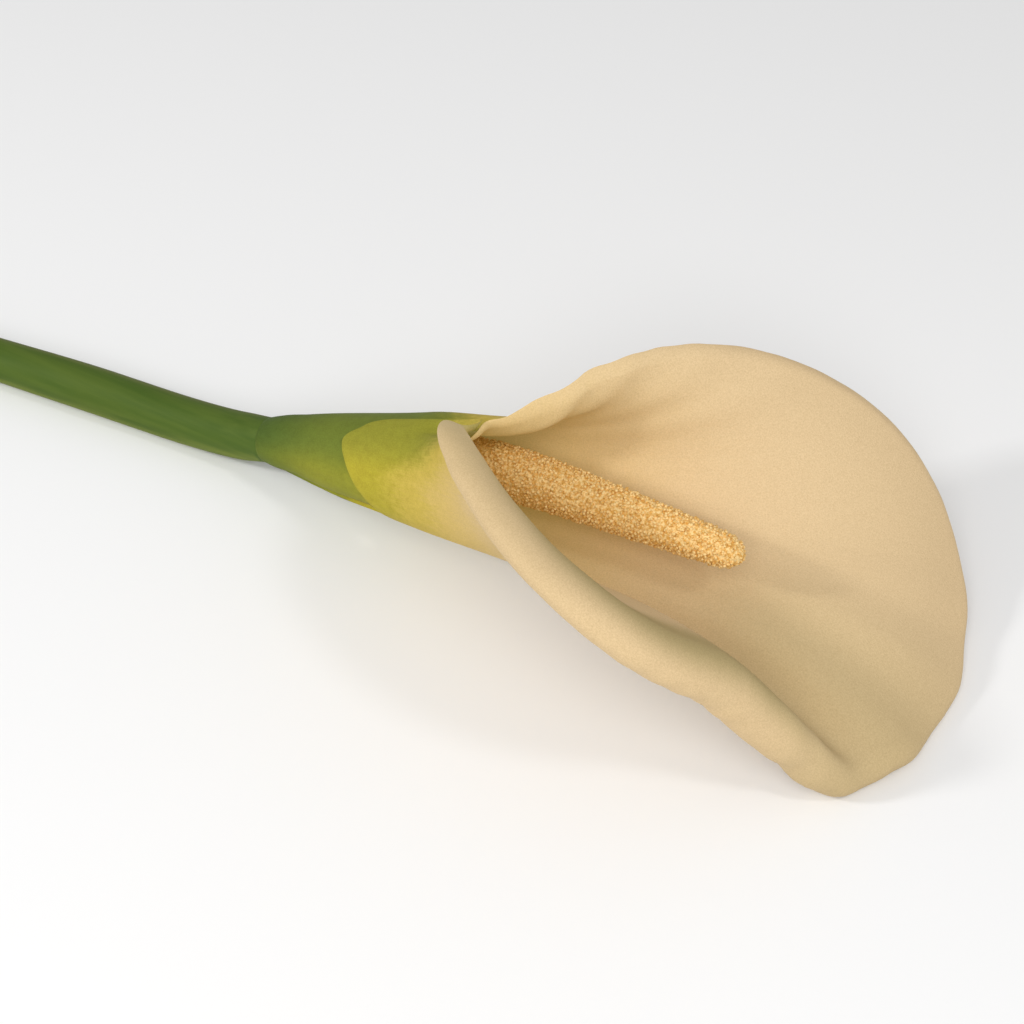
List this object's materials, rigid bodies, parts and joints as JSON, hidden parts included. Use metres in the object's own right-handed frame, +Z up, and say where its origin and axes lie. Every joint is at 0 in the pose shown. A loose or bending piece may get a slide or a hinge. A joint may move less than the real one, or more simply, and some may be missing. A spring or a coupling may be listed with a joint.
{
  "type": "calla lily flower",
  "caption": "Cut calla lily lying on its back: a green stem, a funnel-shaped white spathe with a rolled rim and a flap round its tube, and a granular spadix inside.",
  "frame": {"origin": "on the surface the flower lies on, under the middle of its bounding box", "axes": "+X from the stem's cut end towards the flower's mouth, +Z up; the tube's seam faces up and the midrib lies underneath"},
  "size_m": [0.2958, 0.1106, 0.0686],
  "materials": {
    "stem": "smooth green stem skin, slightly waxy",
    "spathe": "velvety cream petal, yellow-green towards the tube",
    "spadix": "granular golden florets"
  },
  "bodies": {
    "root": {"stem": "stem", "spathe": "spathe", "spadix": "spadix"}
  },
  "joints": []
}
